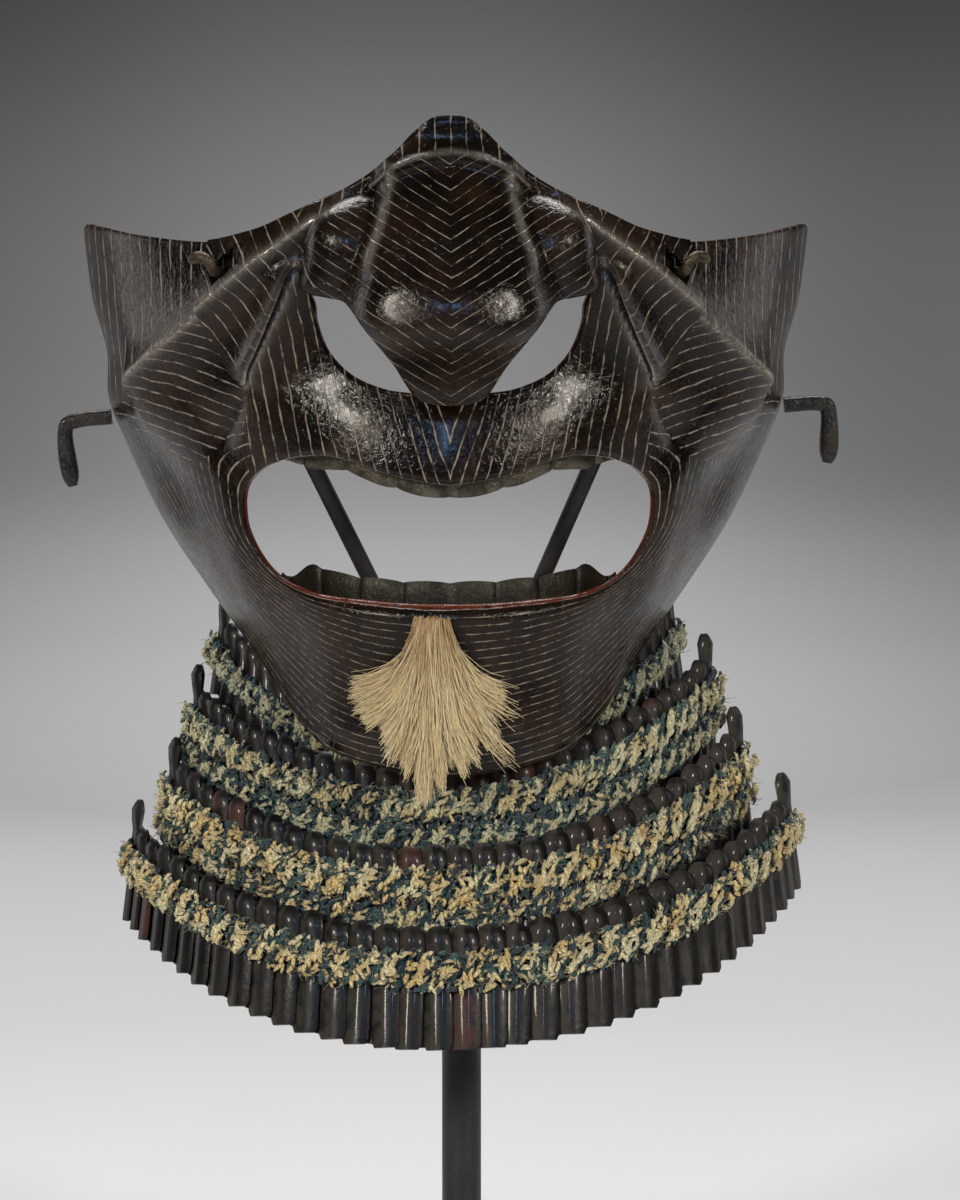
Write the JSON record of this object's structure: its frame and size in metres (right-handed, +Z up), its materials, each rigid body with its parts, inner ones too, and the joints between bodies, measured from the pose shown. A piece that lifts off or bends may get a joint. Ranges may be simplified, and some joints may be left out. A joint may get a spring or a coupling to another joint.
{
  "type": "samurai face guard with laced throat guard on a display stand",
  "caption": "Iron half mask with a hooked nose piece, open mouth, teeth, chin tuft and cord hooks, with a laced lamellar throat guard, held on a plain post stand.",
  "frame": {"origin": "centre of the underside of the stand's base", "axes": "+Z up, -Y the way the mask looks, +X towards its left cheek"},
  "size_m": [0.1731, 0.1435, 0.289],
  "materials": {
    "russet_iron": "dark brown lacquered iron with cut lines, rubbed brighter on the ridges",
    "silvered_teeth": "tarnished silver",
    "black_iron": "black iron with rubbed edges",
    "pale_bristle": "pale animal bristle, darker at its root",
    "black_lacquer": "glossy black lacquer on the scales, worn reddish in places",
    "lacing_silk": "cream and blue plied lacing cord",
    "stand_steel": "black painted steel, matt"
  },
  "bodies": {
    "root": {"face_plate": "russet_iron", "nose_piece": "russet_iron", "upper_teeth": "silvered_teeth", "lower_teeth": "silvered_teeth", "nose_peg_left": "black_iron", "nose_peg_right": "black_iron", "cheek_hook_left": "black_iron", "cheek_hook_right": "black_iron", "chin_tuft": "pale_bristle", "throat_lame_1": "black_lacquer", "throat_lame_2": "black_lacquer", "throat_lame_3": "black_lacquer", "throat_lame_4": "black_lacquer", "lacing_1": "lacing_silk", "lacing_2_upper": "lacing_silk", "lacing_2_lower": "lacing_silk", "lacing_3_upper": "lacing_silk", "lacing_3_lower": "lacing_silk", "lacing_4": "lacing_silk", "stand_base": "stand_steel", "stand_frame": "stand_steel"}
  },
  "joints": []
}
